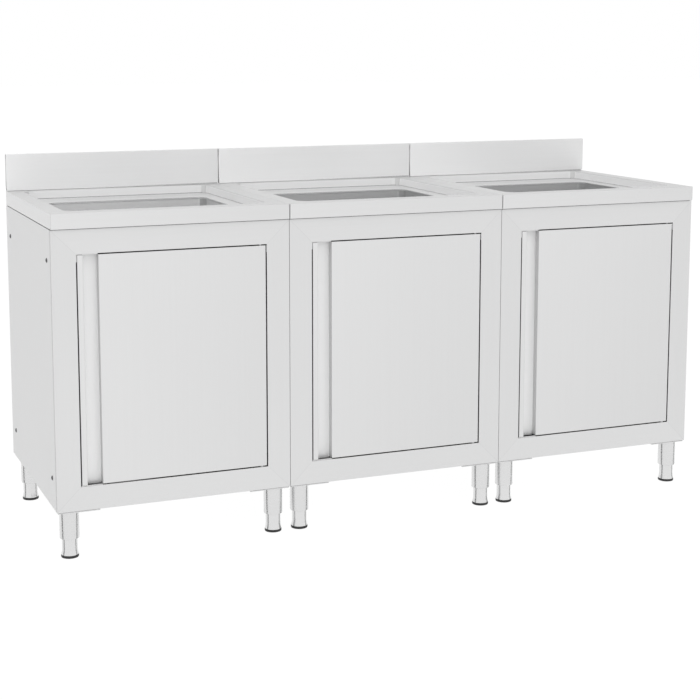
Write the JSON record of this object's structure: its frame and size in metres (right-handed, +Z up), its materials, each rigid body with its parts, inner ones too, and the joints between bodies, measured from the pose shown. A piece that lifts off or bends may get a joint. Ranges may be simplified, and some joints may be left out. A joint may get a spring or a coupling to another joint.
{
  "type": "three compartment sink",
  "caption": "Row of free-standing stainless steel sink cabinets, each with a recessed worktop, square bowl, backsplash, hinged door and adjustable legs.",
  "frame": {"origin": "centre of the footprint, on the floor under the feet", "axes": "+X along the row to the viewer's right, -Y out of the door fronts, +Y towards the wall, +Z up"},
  "size_m": [1.7988, 0.6, 0.95],
  "materials": {
    "brushed_steel": "satin brushed stainless sheet",
    "polished_steel": "polished stainless drain fitting",
    "plated_steel": "plated steel pin",
    "foot_steel": "satin stainless foot",
    "black_rubber": "matt black ring under each foot"
  },
  "bodies": {
    "cabinets": {"unit1_worktop": "brushed_steel", "unit1_bowl": "brushed_steel", "unit1_drain": "polished_steel", "unit1_backsplash": "brushed_steel", "unit1_left_panel": "brushed_steel", "unit1_right_panel": "brushed_steel", "unit1_back_panel": "brushed_steel", "unit1_floor_panel": "brushed_steel", "unit1_front_frame": "brushed_steel", "unit1_upper_hinge_pin": "plated_steel", "unit1_lower_hinge_pin": "plated_steel", "unit1_front_left_leg": "brushed_steel", "unit1_front_right_leg": "brushed_steel", "unit1_rear_left_leg": "brushed_steel", "unit1_rear_right_leg": "brushed_steel", "unit2_worktop": "brushed_steel", "unit2_bowl": "brushed_steel", "unit2_drain": "polished_steel", "unit2_backsplash": "brushed_steel", "unit2_left_panel": "brushed_steel", "unit2_right_panel": "brushed_steel", "unit2_back_panel": "brushed_steel", "unit2_floor_panel": "brushed_steel", "unit2_front_frame": "brushed_steel", "unit2_upper_hinge_pin": "plated_steel", "unit2_lower_hinge_pin": "plated_steel", "unit2_front_left_leg": "brushed_steel", "unit2_front_right_leg": "brushed_steel", "unit2_rear_left_leg": "brushed_steel", "unit2_rear_right_leg": "brushed_steel", "unit3_worktop": "brushed_steel", "unit3_bowl": "brushed_steel", "unit3_drain": "polished_steel", "unit3_backsplash": "brushed_steel", "unit3_left_panel": "brushed_steel", "unit3_right_panel": "brushed_steel", "unit3_back_panel": "brushed_steel", "unit3_floor_panel": "brushed_steel", "unit3_front_frame": "brushed_steel", "unit3_upper_hinge_pin": "plated_steel", "unit3_lower_hinge_pin": "plated_steel", "unit3_front_left_leg": "brushed_steel", "unit3_front_right_leg": "brushed_steel", "unit3_rear_left_leg": "brushed_steel", "unit3_rear_right_leg": "brushed_steel"},
    "unit1_door": {"unit1_door": "brushed_steel"},
    "unit1_front_left_foot": {"unit1_front_left_foot": "foot_steel"},
    "unit1_front_right_foot": {"unit1_front_right_foot": "foot_steel"},
    "unit1_rear_left_foot": {"unit1_rear_left_foot": "foot_steel"},
    "unit1_rear_right_foot": {"unit1_rear_right_foot": "foot_steel"},
    "unit2_door": {"unit2_door": "brushed_steel"},
    "unit2_front_left_foot": {"unit2_front_left_foot": "foot_steel"},
    "unit2_front_right_foot": {"unit2_front_right_foot": "foot_steel"},
    "unit2_rear_left_foot": {"unit2_rear_left_foot": "foot_steel"},
    "unit2_rear_right_foot": {"unit2_rear_right_foot": "foot_steel"},
    "unit3_door": {"unit3_door": "brushed_steel"},
    "unit3_front_left_foot": {"unit3_front_left_foot": "foot_steel"},
    "unit3_front_right_foot": {"unit3_front_right_foot": "foot_steel"},
    "unit3_rear_left_foot": {"unit3_rear_left_foot": "foot_steel"},
    "unit3_rear_right_foot": {"unit3_rear_right_foot": "foot_steel"}
  },
  "joints": [
    {"name": "unit1_door_hinge", "type": "hinge", "parent": "cabinets", "child": "unit1_door", "pos_m": [-0.375, -0.286, 0.184], "axis": [0, 0, 1], "range_deg": [0, 110]},
    {"name": "unit1_front_left_foot_adjustment", "type": "slide", "parent": "cabinets", "child": "unit1_front_left_foot", "axis": [0, 0, -1], "range_m": [0, 0.025]},
    {"name": "unit1_front_right_foot_adjustment", "type": "slide", "parent": "cabinets", "child": "unit1_front_right_foot", "axis": [0, 0, -1], "range_m": [0, 0.025]},
    {"name": "unit1_rear_left_foot_adjustment", "type": "slide", "parent": "cabinets", "child": "unit1_rear_left_foot", "axis": [0, 0, -1], "range_m": [0, 0.025]},
    {"name": "unit1_rear_right_foot_adjustment", "type": "slide", "parent": "cabinets", "child": "unit1_rear_right_foot", "axis": [0, 0, -1], "range_m": [0, 0.025]},
    {"name": "unit2_door_hinge", "type": "hinge", "parent": "cabinets", "child": "unit2_door", "pos_m": [0.225, -0.286, 0.184], "axis": [0, 0, 1], "range_deg": [0, 110]},
    {"name": "unit2_front_left_foot_adjustment", "type": "slide", "parent": "cabinets", "child": "unit2_front_left_foot", "axis": [0, 0, -1], "range_m": [0, 0.025]},
    {"name": "unit2_front_right_foot_adjustment", "type": "slide", "parent": "cabinets", "child": "unit2_front_right_foot", "axis": [0, 0, -1], "range_m": [0, 0.025]},
    {"name": "unit2_rear_left_foot_adjustment", "type": "slide", "parent": "cabinets", "child": "unit2_rear_left_foot", "axis": [0, 0, -1], "range_m": [0, 0.025]},
    {"name": "unit2_rear_right_foot_adjustment", "type": "slide", "parent": "cabinets", "child": "unit2_rear_right_foot", "axis": [0, 0, -1], "range_m": [0, 0.025]},
    {"name": "unit3_door_hinge", "type": "hinge", "parent": "cabinets", "child": "unit3_door", "pos_m": [0.825, -0.286, 0.184], "axis": [0, 0, 1], "range_deg": [0, 110]},
    {"name": "unit3_front_left_foot_adjustment", "type": "slide", "parent": "cabinets", "child": "unit3_front_left_foot", "axis": [0, 0, -1], "range_m": [0, 0.025]},
    {"name": "unit3_front_right_foot_adjustment", "type": "slide", "parent": "cabinets", "child": "unit3_front_right_foot", "axis": [0, 0, -1], "range_m": [0, 0.025]},
    {"name": "unit3_rear_left_foot_adjustment", "type": "slide", "parent": "cabinets", "child": "unit3_rear_left_foot", "axis": [0, 0, -1], "range_m": [0, 0.025]},
    {"name": "unit3_rear_right_foot_adjustment", "type": "slide", "parent": "cabinets", "child": "unit3_rear_right_foot", "axis": [0, 0, -1], "range_m": [0, 0.025]}
  ]
}
